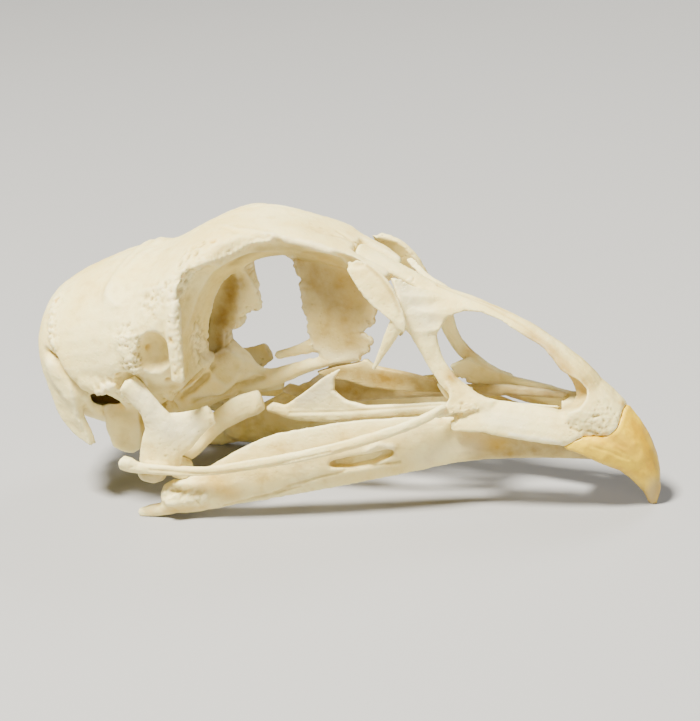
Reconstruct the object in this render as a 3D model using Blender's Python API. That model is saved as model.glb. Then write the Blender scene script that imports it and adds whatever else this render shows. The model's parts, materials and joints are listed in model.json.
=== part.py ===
"""Chicken skull at life size: bare bones and the horn of the beak, resting on the lower jaw.

+X points to the beak, +Y to the skull's left side and +Z up. The finished skull's origin lies
on the floor, under its middle. Every length here is in millimetres, and the last step moves the
meshes over the origin and turns them into metres. The right-hand bones are modelled and mirrored
to the left.
"""
import math

import bmesh
import bpy
import numpy as np
from mathutils import Matrix, Vector
from mathutils.geometry import tessellate_polygon

MM = 0.001

# Driving dimensions of the whole skull
FLOOR = 0.0
MIDDLE_X = 0.65
PLATE = 0.9
THIN_PLATE = 0.7
GAP = 0.36

# The orbit, one rounded hollow on each side, leaning forward as it rises
ORBIT_CENTRE = (-4.7, -10.6, 22.4)
ORBIT_RADII = (11.0, 10.1, 10.0)
ORBIT_POWER = 3.5
FRONT_LEAN = 0.27

# The brain's hollow
BRAIN_CENTRE = (-26.1, 0.0, 19.6)
BRAIN_RADII = (9.8, 11.3, 8.8)
BRAIN_POWER = 2.4

# Foramen magnum: how high its middle is, its half width and its half height.
NECK_HOLE_LEVEL = 14.3
NECK_HOLE_RADII = (3.75, 3.55)

# Hollows in the right side of the braincase, each with its middle and half lengths.
ORBIT_CORNER = ((-10.2, -12.5, 26.0), (5.6, 5.5, 6.3))
ORBIT_CORNER_POWER = 2.6
TEMPORAL_FOSSA = ((-18.5, -14.4, 21.1), (2.4, 3.9, 3.5))
EAR_HOLLOW = ((-26.7, -12.6, 11.2), (3.4, 5.2, 4.6))
REAR_WINDOW = ((-14.2, -2.25, 22.8), (3.6, 1.2, 6.0))
JAW_SOCKET = ((-22.2, -12.8, 17.0), (2.3, 1.7, 2.1))

# The beak
NARIS_OUTLINE = ((15.8, 24.0), (14.5, 23.4), (13.8, 22.0), (13.8, 20.1), (14.5, 18.3), (15.6, 16.8),
                 (17.0, 15.5), (18.6, 14.4), (20.6, 13.9), (25.2, 13.1), (27.6, 12.4), (28.8, 12.7),
                 (29.4, 13.9), (28.8, 15.6), (27.6, 17.4), (25.9, 19.6), (23.0, 21.4), (20.7, 22.9),
                 (18.4, 23.8))
NARIS_HOLLOW = ((27.6, 12.6), (29.2, 12.8), (30.3, 13.3), (30.9, 14.2), (30.8, 15.1), (30.0, 16.0),
                (29.0, 16.6), (27.6, 17.2))
NARIS_HOLLOW_MIDDLE = -6.4
NARIS_HOLLOW_WIDTH = 10.0
HORN_SEAM = ((34.9, 15.0), (34.6, 12.6), (34.4, 10.8), (33.4, 9.8), (31.4, 9.8), (30.0, 9.7),
             (28.2, 8.7), (26.4, 8.1))

NASAL_TILT = -20.0
JAW_TILT = -33.0

# How finely each bone's surface is rebuilt, and how many triangles it keeps
VOXEL = 0.25
FINE_VOXEL = 0.18
TRIANGLES = {
    "cranium": 5200,
    "upper_beak": 2300,
    "beak_horn": 500,
    "lacrimal": 300,
    "quadrate": 460,
    "jugal_bar": 260,
    "pterygoid": 180,
    "palatine": 360,
    "vomer": 200,
    "mandible": 2300,
}


# Meshes and modifiers

def clear_scene():
    """Remove whatever the file holds, so that each run starts empty."""
    for item in list(bpy.data.objects):
        bpy.data.objects.remove(item, do_unlink=True)


def mesh_object(name, points, faces):
    """A closed mesh object with its faces turned outwards."""
    mesh = bpy.data.meshes.new(name)
    mesh.from_pydata([tuple(point) for point in points], [], [tuple(face) for face in faces])
    shape = bmesh.new()
    shape.from_mesh(mesh)
    bmesh.ops.recalc_face_normals(shape, faces=shape.faces)
    if shape.calc_volume(signed=True) < 0:
        bmesh.ops.reverse_faces(shape, faces=shape.faces)
    shape.to_mesh(mesh)
    shape.free()
    item = bpy.data.objects.new(name, mesh)
    bpy.context.scene.collection.objects.link(item)
    return item


def copy_object(item, name):
    """A separate object with its own copy of the mesh."""
    double = bpy.data.objects.new(name, item.data.copy())
    bpy.context.scene.collection.objects.link(double)
    return double


def apply_modifiers(item):
    """Turn the object's modifiers into plain mesh."""
    evaluated = item.evaluated_get(bpy.context.evaluated_depsgraph_get())
    mesh = bpy.data.meshes.new_from_object(evaluated)
    old = item.data
    item.modifiers.clear()
    item.data = mesh
    bpy.data.meshes.remove(old)


def remove(items):
    for item in items:
        bpy.data.objects.remove(item, do_unlink=True)


def combine(base, others, operation):
    """One Boolean of a whole collection on the base, whose objects are then removed."""
    group = bpy.data.collections.new("pieces")
    bpy.context.scene.collection.children.link(group)
    for item in others:
        bpy.context.scene.collection.objects.unlink(item)
        group.objects.link(item)
    boolean = base.modifiers.new("combine", "BOOLEAN")
    boolean.operation = operation
    boolean.solver = "MANIFOLD"
    boolean.operand_type = "COLLECTION"
    boolean.collection = group
    apply_modifiers(base)
    remove(others)
    bpy.data.collections.remove(group)
    keep_largest(base)
    return base


def fuse(name, pieces):
    """Join closed pieces into one solid."""
    base = pieces[0]
    base.name = name
    if len(pieces) > 1:
        combine(base, pieces[1:], "UNION")
    return base


def carve(item, cutters):
    """Take the cutters out of the solid."""
    return combine(item, cutters, "DIFFERENCE")


def keep_largest(item):
    """Keep only the largest closed surface, which also fills a sealed hollow."""
    shape = bmesh.new()
    shape.from_mesh(item.data)
    unseen = set(shape.faces)
    shells = []
    while unseen:
        stack = [unseen.pop()]
        shell = list(stack)
        while stack:
            for edge in stack.pop().edges:
                for face in edge.link_faces:
                    if face in unseen:
                        unseen.remove(face)
                        stack.append(face)
                        shell.append(face)
        shells.append(shell)
    shells.sort(key=len, reverse=True)
    scraps = [face for shell in shells[1:] for face in shell]
    bmesh.ops.delete(shape, geom=scraps, context="FACES")
    shape.to_mesh(item.data)
    shape.free()


def triangle_count(item):
    return sum(len(face.vertices) - 2 for face in item.data.polygons)


def blend(item, voxel, smoothing):
    """Rebuild the surface evenly and soften the joints between the pieces."""
    remesh = item.modifiers.new("even", "REMESH")
    remesh.mode = "VOXEL"
    remesh.voxel_size = voxel
    smooth = item.modifiers.new("soften", "SMOOTH")
    smooth.factor = 0.5
    smooth.iterations = smoothing
    apply_modifiers(item)
    keep_largest(item)


def thin_out(item, triangles):
    """Lower the triangle count where the surface is nearly flat."""
    decimate = item.modifiers.new("thin", "DECIMATE")
    decimate.ratio = min(1.0, triangles / triangle_count(item))
    apply_modifiers(item)
    keep_largest(item)


def grown_copy(item, gap):
    """A copy whose surface stands off by the gap, to cut a neighbour clear."""
    double = copy_object(item, "clearance")
    displace = double.modifiers.new("grow", "DISPLACE")
    displace.mid_level = 0.0
    displace.strength = gap
    remesh = double.modifiers.new("even", "REMESH")
    remesh.mode = "VOXEL"
    remesh.voxel_size = VOXEL
    decimate = double.modifiers.new("thin", "DECIMATE")
    decimate.ratio = 0.15
    apply_modifiers(double)
    keep_largest(double)
    return double


def clear_of(item, neighbours):
    """Cut the solid back to the gap from each neighbour that is finished already."""
    for neighbour in neighbours:
        carve(item, [grown_copy(neighbour, GAP)])
    return item


def finish(item, kind, material, voxel=VOXEL, smoothing=3):
    """The steps that end each bone: blend, thin out, material."""
    blend(item, voxel, smoothing)
    thin_out(item, TRIANGLES[kind])
    item.data.materials.clear()
    item.data.materials.append(material)
    return item


def mirrored(item, name):
    """The same bone on the skull's left side."""
    double = copy_object(item, name)
    double.data.transform(Matrix.Scale(-1, 4, Vector((0, 1, 0))))
    double.data.flip_normals()
    return double


# Shapes

def smooth_rows(rows, steps):
    """Rows of numbers with more rows filled in between them, along a Catmull-Rom curve."""
    rows = np.array(rows, float)
    ends = np.vstack([2 * rows[0] - rows[1], rows, 2 * rows[-1] - rows[-2]])
    filled = []
    for first in range(len(rows) - 1):
        a, b, c, d = ends[first:first + 4]
        for t in np.arange(steps) / steps:
            cubic = (3 * b - a - 3 * c + d) * t ** 3
            square = (2 * a - 5 * b + 4 * c - d) * t ** 2
            filled.append(0.5 * (2 * b + (c - a) * t + square + cubic))
    filled.append(rows[-1])
    return np.array(filled)


def signed_power(value, power):
    return math.copysign(abs(value) ** power, value)


def loft(name, rings, front_tip, rear_tip):
    """A closed skin over rings of equal point count, with a pole at each end."""
    count = len(rings[0])
    points = [tuple(point) for ring in rings for point in ring]
    points += [tuple(front_tip), tuple(rear_tip)]
    faces = []
    for row in range(len(rings) - 1):
        for i in range(count):
            j = (i + 1) % count
            faces.append((row * count + i, row * count + j, (row + 1) * count + j, (row + 1) * count + i))
    last = (len(rings) - 1) * count
    for i in range(count):
        j = (i + 1) % count
        faces.append((i, j, len(points) - 2))
        faces.append((last + i, last + j, len(points) - 1))
    return mesh_object(name, points, faces)


def limb(stations, sides=14, steps=3, power=2.0, tilt=0.0):
    """A rod or bar along a path. A station is x, y, z, half thickness across, half height.

    The thickness lies across the skull and the height in its side view, square to the path.
    """
    rows = smooth_rows(stations, steps)
    centres = rows[:, :3]
    forward = np.gradient(centres, axis=0)
    rings = []
    for row, along in zip(rows, forward):
        along = along / np.linalg.norm(along)
        across = np.array((0.0, 1.0, 0.0)) - along * along[1]
        across /= np.linalg.norm(across)
        rise = np.cross(along, across)
        turn = math.radians(tilt)
        wide = across * math.cos(turn) + rise * math.sin(turn)
        tall = rise * math.cos(turn) - across * math.sin(turn)
        ring = []
        for i in range(sides):
            angle = 2 * math.pi * i / sides
            u = signed_power(math.cos(angle), 2 / power) * max(row[3], 0.05)
            v = signed_power(math.sin(angle), 2 / power) * max(row[4], 0.05)
            ring.append(row[:3] + wide * u + tall * v)
        rings.append(np.array(ring))
    first, last = centres[0], centres[-1]
    start = first - forward[0] / np.linalg.norm(forward[0]) * 0.5 * min(rows[0][3:5])
    end = last + forward[-1] / np.linalg.norm(forward[-1]) * 0.5 * min(rows[-1][3:5])
    return loft("limb", rings, start, end)


def body_loft(stations, sides=40, steps=3, bulge=0.6):
    """A body along X. A station is x, half width, top, widest level, bottom, top and bottom power."""
    rows = smooth_rows(stations, steps)
    rings = []
    for x, half, top, middle, bottom, top_power, bottom_power in rows:
        ring = []
        for i in range(sides):
            angle = 2 * math.pi * i / sides
            power = top_power if math.sin(angle) >= 0 else bottom_power
            reach = top - middle if math.sin(angle) >= 0 else middle - bottom
            across = signed_power(math.cos(angle), 2 / power) * half
            ring.append((x, across, middle + signed_power(math.sin(angle), 2 / power) * reach))
        rings.append(np.array(ring))
    rear = rings[0].mean(axis=0) - np.array((bulge, 0, 0))
    front = rings[-1].mean(axis=0) + np.array((bulge, 0, 0))
    return loft("body", rings, rear, front)


def ellipsoid(centre, radii, power=2.0, lean=0.0, detail=4):
    """A ball with its own radius each way, squarer for a higher power, leaning forward upwards."""
    shape = bmesh.new()
    bmesh.ops.create_icosphere(shape, subdivisions=detail, radius=1.0)
    for corner in shape.verts:
        direction = corner.co.normalized()
        size = sum(abs(direction[k] / radii[k]) ** power for k in range(3)) ** (-1 / power)
        place = direction * size
        place.x += lean * place.z
        corner.co = place + Vector(centre)
    mesh = bpy.data.meshes.new("ball")
    shape.to_mesh(mesh)
    shape.free()
    item = bpy.data.objects.new("ball", mesh)
    bpy.context.scene.collection.objects.link(item)
    return item


def slab(points, thickness):
    """A thin plate with the given outline in space, thickened to both sides."""
    outline = [Vector(point) for point in points]
    normal = Vector((0, 0, 0))
    for i, point in enumerate(outline):
        normal += point.cross(outline[(i + 1) % len(outline)])
    normal.normalize()
    flat = [point - normal * point.dot(normal) for point in outline]
    triangles = tessellate_polygon([flat])
    count = len(outline)
    corners = [point + normal * thickness / 2 for point in outline]
    corners += [point - normal * thickness / 2 for point in outline]
    faces = [tuple(triangle) for triangle in triangles]
    faces += [tuple(count + k for k in reversed(triangle)) for triangle in triangles]
    for i in range(count):
        j = (i + 1) % count
        faces.append((i, j, count + j, count + i))
    return mesh_object("slab", corners, faces)


def plate(outline, y, thickness):
    """An upright plate along the skull, from its outline in side view."""
    return slab([(x, y, z) for x, z in outline], thickness)


def box(low, high):
    """A plain block between two corners."""
    (x0, y0, z0), (x1, y1, z1) = low, high
    corners = [(x, y, z) for x in (x0, x1) for y in (y0, y1) for z in (z0, z1)]
    faces = [(0, 1, 3, 2), (4, 6, 7, 5), (0, 4, 5, 1), (2, 3, 7, 6), (0, 2, 6, 4), (1, 5, 7, 3)]
    return mesh_object("block", corners, faces)


def both_sides(make, *sizes, **options):
    """A piece of the skull's right side, and its twin on the left."""
    piece = make(*sizes, **options)
    return [piece, mirrored(piece, "twin")]


# Bones

def braincase():
    """The rounded rear of the skull, and the roof that runs forward over the orbits."""
    stations = (
        (-36.9, 3.0, 21.6, 18.6, 15.6, 2.0, 2.0),
        (-36.2, 6.5, 23.8, 18.7, 13.0, 2.1, 2.0),
        (-34.7, 9.2, 25.6, 18.6, 10.6, 2.2, 1.9),
        (-32.0, 11.3, 27.2, 18.5, 8.6, 2.3, 1.8),
        (-28.0, 12.6, 28.9, 19.0, 7.4, 2.3, 1.6),
        (-24.0, 13.1, 30.2, 20.0, 7.8, 2.3, 1.6),
        (-20.5, 13.2, 30.9, 21.3, 9.2, 2.3, 1.6),
        (-17.0, 12.9, 32.6, 24.5, 10.8, 2.4, 1.7),
        (-14.0, 11.4, 33.9, 29.0, 12.0, 2.6, 1.9),
        (-12.0, 9.5, 34.4, 31.6, 15.0, 3.0, 2.0),
        (-9.6, 7.4, 34.6, 32.9, 24.0, 3.5, 1.8),
        (-7.0, 5.7, 34.5, 33.2, 28.8, 4.0, 1.3),
        (-4.0, 4.9, 34.2, 33.1, 29.2, 4.0, 1.2),
        (-1.5, 4.7, 33.5, 32.5, 29.0, 4.0, 1.2),
        (1.0, 4.6, 32.6, 31.7, 28.4, 4.0, 1.2),
        (4.0, 4.5, 31.1, 30.3, 27.4, 4.0, 1.2),
        (6.2, 4.2, 29.9, 29.1, 27.0, 4.0, 1.3),
        (7.7, 3.3, 29.1, 28.4, 27.2, 3.0, 2.0),
    )
    return body_loft(stations)


def septum():
    """The thin upright wall between the orbits: its front plate, rear remnant and lower spur."""
    front = ((-4.8, 31.0), (-4.9, 28.6), (-4.2, 26.4), (-4.1, 23.4), (-3.6, 20.4), (-2.9, 17.9),
             (-1.7, 16.5), (2.6, 17.0), (3.4, 17.7), (4.7, 18.9), (4.3, 19.9), (2.9, 20.1),
             (5.0, 21.7), (5.4, 23.4), (6.2, 26.0), (7.4, 28.6))
    rear = ((-8.0, 31.0), (-8.4, 22.0), (-10.0, 17.8), (-13.4, 16.5), (-16.0, 18.7), (-15.4, 26.0),
            (-13.0, 31.0))
    spur = ((-8.0, 0.0, 16.9, 0.45, 0.6), (-5.8, 0.0, 17.5, 0.45, 0.7), (-2.8, 0.0, 18.4, 0.45, 1.1))
    return [plate(front, 0.0, PLATE), plate(rear, 0.0, PLATE), limb(spur)]


def septum_window():
    """The gap between the septum's rear remnant and its front plate."""
    outline = ((-10.5, 28.8), (-9.6, 26.0), (-9.1, 24.0), (-9.3, 22.7), (-11.6, 22.3), (-11.8, 20.4),
               (-13.3, 20.0), (-13.7, 18.2), (-12.4, 17.3), (-10.0, 17.2), (-8.6, 17.9), (-5.6, 18.5),
               (-3.5, 20.0), (-4.1, 23.4), (-4.2, 26.4), (-4.9, 28.6), (-5.0, 30.4), (-7.5, 30.6),
               (-9.4, 30.0))
    return plate(outline, 0.0, 4.0)


def median_groove():
    """The channel in the roof where the beak's median tongue lies."""
    outline = ((3.2, 40.0), (3.2, 30.1), (6.2, 28.3), (9.6, 26.4), (12.0, 26.0), (12.0, 40.0))
    return plate(outline, 0.0, 4.2)


def rostrum():
    """The keel under the orbits that runs forward from the skull's floor."""
    stations = (
        (-20.0, 0.0, 12.0, 4.4, 3.0),
        (-16.4, 0.0, 13.6, 3.2, 3.0),
        (-13.4, 0.0, 14.6, 2.3, 2.9),
        (-11.4, 0.0, 14.0, 1.7, 2.0),
        (-9.6, 0.0, 13.9, 1.3, 1.3),
        (-8.0, 0.0, 14.2, 1.0, 1.05),
        (-6.2, 0.0, 14.9, 0.85, 1.0),
        (-3.8, 0.0, 15.8, 0.75, 0.85),
        (-1.1, 0.0, 16.4, 0.6, 0.6),
        (1.4, 0.0, 16.8, 0.5, 0.45),
        (2.9, 0.0, 17.0, 0.45, 0.4),
    )
    return limb(stations)


def orbit_floor():
    """What is open below each orbit, beside the keel, and the dip in front of the brain's hollow."""
    side = ((-22.0, 5.0), (-22.0, 11.6), (-20.2, 13.3), (-17.4, 15.3), (-15.3, 17.3), (-13.2, 18.4),
            (-8.0, 19.5), (-8.0, 5.0))
    dip = ((-13.8, 20.5), (-13.8, 18.2), (-12.3, 17.0), (-10.5, 15.6), (-8.8, 15.6), (-8.8, 20.5))
    return both_sides(plate, side, -9.8, 12.4), plate(dip, 0.0, 8.0)


def temporal_processes():
    """The two prongs behind each orbit, which frame the temporal fossa."""
    postorbital = (
        (-15.9, -11.9, 27.4, 0.9, 1.0),
        (-15.8, -12.8, 24.4, 0.85, 1.0),
        (-15.6, -13.2, 21.4, 0.65, 0.95),
        (-15.5, -13.4, 18.3, 0.5, 0.95),
    )
    zygomatic = (
        (-22.2, -12.3, 23.4, 1.1, 1.8),
        (-21.8, -12.8, 21.2, 0.8, 1.2),
        (-21.1, -13.1, 18.9, 0.4, 0.5),
    )
    ledge = (
        (-28.4, -11.5, 17.6, 1.0, 1.7),
        (-26.0, -12.1, 17.0, 0.8, 1.3),
        (-24.6, -12.3, 16.7, 0.5, 0.8),
    )
    return both_sides(limb, postorbital) + both_sides(limb, zygomatic) + both_sides(limb, ledge)


def ear_region():
    """The flange behind each ear opening, the lobe below it and the joint knob at the back."""
    flange = ((-34.0, -8.6, 19.2), (-34.6, -8.4, 17.6), (-34.5, -8.2, 15.4), (-33.9, -8.2, 13.0),
              (-33.0, -8.4, 10.9), (-31.5, -8.8, 9.2), (-28.9, -9.6, 7.9), (-29.2, -9.8, 9.6),
              (-29.9, -10.3, 12.0), (-29.8, -11.0, 15.0), (-30.4, -11.4, 18.0))
    lobe = ((-27.8, -7.6, 9.8), (-27.3, -7.4, 7.4), (-26.2, -7.3, 6.6), (-24.6, -7.2, 6.4),
            (-23.6, -7.2, 7.2), (-23.2, -7.3, 9.2), (-23.2, -7.8, 13.4), (-25.4, -7.9, 14.2),
            (-27.6, -7.9, 13.0))
    knob = ellipsoid((-34.2, 0.0, 9.6), (1.5, 1.5, 1.3), detail=3)
    return both_sides(slab, flange, PLATE + 0.2) + both_sides(slab, lobe, 2 * PLATE) + [knob]


def cranium(material):
    """The braincase with the frontals, the septum and the rostrum, grown into one bone."""
    solid = fuse("cranium", [braincase()])
    orbits = both_sides(ellipsoid, ORBIT_CENTRE, ORBIT_RADII, power=ORBIT_POWER, lean=FRONT_LEAN)
    corners = both_sides(ellipsoid, *ORBIT_CORNER, power=ORBIT_CORNER_POWER)
    fossae = both_sides(ellipsoid, *TEMPORAL_FOSSA, detail=3)
    ears = both_sides(ellipsoid, *EAR_HOLLOW, detail=3)
    open_floor, dip = orbit_floor()
    carve(solid, orbits)
    carve(solid, corners)
    carve(solid, fossae + ears)
    carve(solid, open_floor)
    combine(solid, temporal_processes() + ear_region() + septum() + [rostrum()], "UNION")
    hollow = ellipsoid(BRAIN_CENTRE, BRAIN_RADII, power=BRAIN_POWER, lean=FRONT_LEAN)
    neck_hole = limb([(x, 0.0, NECK_HOLE_LEVEL, *NECK_HOLE_RADII) for x in (-40.0, -29.0)], sides=24)
    windows = both_sides(ellipsoid, *REAR_WINDOW, lean=FRONT_LEAN, detail=3)
    sockets = both_sides(ellipsoid, *JAW_SOCKET, detail=3)
    carve(solid, [hollow, neck_hole])
    carve(solid, windows + sockets)
    carve(solid, [septum_window(), dip])
    carve(solid, [median_groove()])
    return finish(solid, "cranium", material)


def beak_body():
    """The solid front of the upper beak, before the horn and the bone are parted."""
    stations = (
        (28.9, 0.0, 12.4, 4.5, 3.7),
        (30.5, 0.0, 11.7, 4.3, 3.5),
        (33.0, 0.0, 9.95, 3.7, 2.9),
        (35.5, 0.0, 7.4, 2.8, 2.3),
        (37.0, 0.0, 4.4, 1.75, 1.7),
        (37.65, 0.0, 1.9, 1.05, 1.1),
        (37.75, 0.0, 0.5, 0.6, 0.65),
        (37.8, 0.0, -0.3, 0.3, 0.35),
    )
    return limb(stations, sides=24, power=2.3)


def seam_block(forward, gap):
    """A block that ends at the seam between horn and bone, on the side asked for."""
    reach = 60.0 if forward else -60.0
    line = [(x + gap, z) for x, z in HORN_SEAM]
    far = [(reach, line[-1][1] - 30.0), (reach, line[0][1] + 20.0)]
    low = [(line[-1][0], line[-1][1] - 30.0)]
    high = [(line[0][0], line[0][1] + 20.0)]
    return plate(high + line + low + far, 0.0, 30.0)


def palate_hollow():
    """The hollow under the beak, where the tip of the lower jaw lies."""
    return limb(((20.0, 0.0, 7.4, 4.6, 2.6), (27.0, 0.0, 7.3, 3.7, 2.4), (32.0, 0.0, 6.2, 2.7, 2.3),
                 (34.2, 0.0, 4.8, 1.6, 1.7)), sides=20)


def upper_beak(material, neighbours):
    """Culmen, nasal bars and plates, jaw bars and the bony core of the tip."""
    culmen = (
        (3.3, 0.0, 30.8, 1.75, 0.65),
        (6.3, 0.0, 29.2, 1.75, 0.65),
        (9.0, 0.0, 27.75, 1.6, 0.7),
        (12.0, 0.0, 26.0, 1.6, 0.85),
        (14.3, 0.0, 24.95, 1.8, 0.95),
        (16.5, 0.0, 24.2, 1.9, 1.0),
        (20.0, 0.0, 22.8, 1.9, 0.95),
        (23.7, 0.0, 20.9, 2.0, 1.0),
        (26.8, 0.0, 18.6, 2.2, 1.1),
        (29.6, 0.0, 15.7, 2.9, 1.5),
        (31.2, 0.0, 12.9, 3.6, 1.8),
    )
    nasal_bar = (
        (12.3, -3.7, 24.6, 0.45, 2.6),
        (12.0, -4.1, 22.6, 0.45, 2.0),
        (12.6, -4.2, 20.4, 0.45, 1.3),
        (13.3, -4.3, 18.5, 0.45, 1.15),
        (14.5, -4.5, 16.7, 0.5, 1.15),
        (16.6, -4.6, 14.9, 0.55, 1.5),
        (19.6, -4.7, 13.0, 0.6, 2.0),
    )
    jaw_bar = (
        (15.2, -5.9, 11.3, 0.4, 0.9),
        (17.0, -5.6, 11.6, 0.5, 1.35),
        (18.9, -5.2, 12.0, 0.65, 1.9),
        (20.5, -4.9, 12.0, 0.75, 2.2),
        (23.5, -4.5, 11.5, 0.8, 2.3),
        (26.9, -4.0, 10.9, 0.9, 2.3),
        (30.0, -3.2, 10.6, 1.1, 2.2),
    )
    nasal_plate = ((10.1, -4.8, 22.4), (9.6, -4.9, 24.4), (9.2, -4.6, 26.6), (8.3, -3.7, 28.7),
                   (9.8, -3.0, 27.8), (10.9, -2.2, 26.9), (12.2, -1.6, 26.2), (14.2, -1.2, 25.3),
                   (17.0, -1.2, 24.3), (15.8, -2.3, 23.6), (14.2, -3.7, 22.2), (12.0, -4.4, 21.8))
    cheek_web = ((13.9, -4.6, 16.9), (15.0, -5.4, 15.6), (15.1, -5.9, 14.4), (14.4, -6.4, 13.5),
                 (13.3, -6.8, 12.8), (13.9, -6.6, 12.2), (15.9, -6.2, 12.8), (17.6, -5.7, 13.0), (19.2, -5.0, 13.6), (17.2, -4.6, 15.0))
    inner_flange = ((12.9, -3.0, 15.3), (15.0, -3.2, 16.3), (17.4, -3.9, 15.1), (19.4, -4.4, 12.8),
                    (16.0, -4.0, 12.5), (13.9, -3.4, 13.7))
    pieces = [beak_body(), limb(culmen)]
    pieces += both_sides(limb, nasal_bar, tilt=NASAL_TILT)
    pieces += both_sides(limb, jaw_bar, tilt=JAW_TILT)
    pieces += both_sides(slab, nasal_plate, PLATE)
    pieces += both_sides(slab, cheek_web, THIN_PLATE)
    pieces += both_sides(slab, inner_flange, THIN_PLATE)
    solid = fuse("upper_beak", pieces)
    naris = plate(NARIS_OUTLINE, 0.0, 30.0)
    carve(solid, [naris])
    carve(solid, both_sides(plate, NARIS_HOLLOW, NARIS_HOLLOW_MIDDLE, NARIS_HOLLOW_WIDTH))
    carve(solid, [palate_hollow(), seam_block(True, 0.0)])
    clear_of(solid, neighbours)
    return finish(solid, "upper_beak", material)


def beak_horn(material, neighbours):
    """The hooked horn cover of the tip, which reaches back along the cutting edge."""
    edge = (
        (28.2, -4.55, 8.9, 0.45, 0.5),
        (30.8, -4.1, 8.5, 0.55, 1.2),
        (33.0, -3.4, 7.6, 0.55, 1.65),
        (35.0, -2.4, 6.3, 0.55, 1.7),
        (36.4, -1.3, 4.2, 0.55, 1.25),
        (37.3, -0.4, 2.0, 0.4, 0.8),
    )
    solid = fuse("beak_horn", [beak_body()] + both_sides(limb, edge))
    carve(solid, [palate_hollow()])
    carve(solid, [seam_block(False, 0.0)])
    clear_of(solid, neighbours)
    finish(solid, "beak_horn", material, voxel=FINE_VOXEL)
    stand_on_floor(solid)
    return solid


def lacrimal(material, neighbours):
    """The plate in front of the orbit's rim, with the spike that hangs from it."""
    outline = ((3.9, -5.3, 30.5), (4.7, -5.1, 31.1), (5.9, -5.1, 30.8), (7.1, -5.2, 30.2), (8.2, -5.4, 29.2),
               (9.2, -5.6, 27.8), (10.1, -5.9, 25.8), (10.7, -6.3, 23.7), (10.4, -6.6, 22.7),
               (8.9, -6.8, 24.4), (6.7, -6.7, 26.1), (4.9, -6.4, 28.3), (3.7, -5.9, 30.1))
    spike = ((9.9, -6.5, 24.4, 0.45, 1.0), (8.6, -6.3, 22.2, 0.4, 0.8), (7.4, -6.1, 20.1, 0.35, 0.5),
             (6.1, -5.9, 17.8, 0.25, 0.25))
    solid = fuse("lacrimal_right", [slab(outline, THIN_PLATE), limb(spike)])
    clear_of(solid, neighbours)
    return finish(solid, "lacrimal", material, voxel=FINE_VOXEL, smoothing=2)


def quadrate(material, neighbours):
    """The bone that hangs the lower jaw from the skull."""
    stem = (
        (-22.6, -12.3, 17.4, 0.9, 1.3),
        (-21.6, -12.2, 16.2, 0.9, 1.45),
        (-20.0, -12.0, 14.0, 0.9, 1.5),
        (-19.0, -11.7, 11.4, 0.95, 2.3),
        (-19.4, -11.5, 8.6, 1.1, 2.7),
        (-19.9, -11.4, 6.4, 1.3, 2.6),
    )
    orbital = ((-18.8, -11.5, 10.2, 0.8, 3.0), (-17.0, -11.4, 11.0, 0.7, 2.7), (-15.0, -11.1, 12.1, 0.6, 1.8),
               (-13.6, -11.0, 12.9, 0.55, 1.4), (-12.7, -10.9, 13.3, 0.5, 1.3))
    outer_condyle = ellipsoid((-20.8, -11.8, 5.5), (1.9, 1.0, 1.1), detail=3)
    inner_condyle = ellipsoid((-17.6, -10.3, 5.9), (1.6, 1.4, 1.3), detail=3)
    solid = fuse("quadrate_right", [limb(stem), limb(orbital), outer_condyle, inner_condyle])
    clear_of(solid, neighbours)
    return finish(solid, "quadrate", material)


def palatine(material, neighbours):
    """The long bar of the palate, with its thin upright leaf at the rear."""
    bar = (
        (-7.9, -3.2, 11.5, 0.5, 0.7),
        (-5.6, -3.2, 10.8, 0.5, 0.9),
        (-1.8, -3.3, 10.7, 0.5, 1.0),
        (2.0, -3.4, 11.1, 0.5, 1.0),
        (8.4, -3.3, 11.7, 0.5, 0.9),
        (14.0, -3.0, 12.2, 0.5, 0.8),
        (20.0, -2.8, 12.5, 0.5, 0.75),
        (24.5, -2.6, 12.4, 0.5, 0.6),
        (27.8, -2.3, 12.3, 0.45, 0.5),
    )
    leaf = ((-6.8, -3.2, 11.3), (-3.0, -3.3, 14.0), (-0.6, -3.4, 15.9), (1.5, -3.4, 17.0),
            (0.4, -3.4, 15.6), (0.3, -3.4, 13.9), (1.6, -3.4, 12.8), (4.2, -3.4, 12.2), (2.0, -3.4, 11.2),
            (-3.0, -3.3, 10.9))
    solid = fuse("palatine_right", [limb(bar), slab(leaf, THIN_PLATE)])
    clear_of(solid, neighbours)
    return finish(solid, "palatine", material, voxel=FINE_VOXEL, smoothing=2)


def pterygoid(material, neighbours):
    """The strut from the quadrate to the palate."""
    strut = ((-9.0, -3.7, 12.5, 0.6, 1.4), (-11.3, -4.8, 11.8, 0.7, 1.6), (-13.9, -6.2, 10.4, 0.8, 1.3),
             (-16.2, -8.0, 8.2, 0.8, 1.2), (-17.4, -9.3, 6.9, 0.7, 0.9))
    solid = fuse("pterygoid_right", [limb(strut)])
    clear_of(solid, neighbours)
    return finish(solid, "pterygoid", material, voxel=FINE_VOXEL)


def vomer(material, neighbours):
    """The thin upright blade under the rostrum's tip and ahead of it."""
    blade = ((-3.0, 14.9), (-1.0, 14.2), (0.6, 14.1), (2.4, 13.6), (3.7, 13.3), (7.4, 13.0), (11.0, 13.0),
             (16.5, 13.1), (16.5, 13.7), (13.6, 14.0), (11.9, 14.6), (10.0, 15.0), (7.6, 15.5),
             (5.1, 15.9), (4.3, 16.2), (3.6, 16.9), (1.4, 16.2), (-1.1, 15.6))
    solid = fuse("vomer", [plate(blade, 0.0, PLATE)])
    clear_of(solid, neighbours)
    return finish(solid, "vomer", material, voxel=FINE_VOXEL, smoothing=2)


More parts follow.
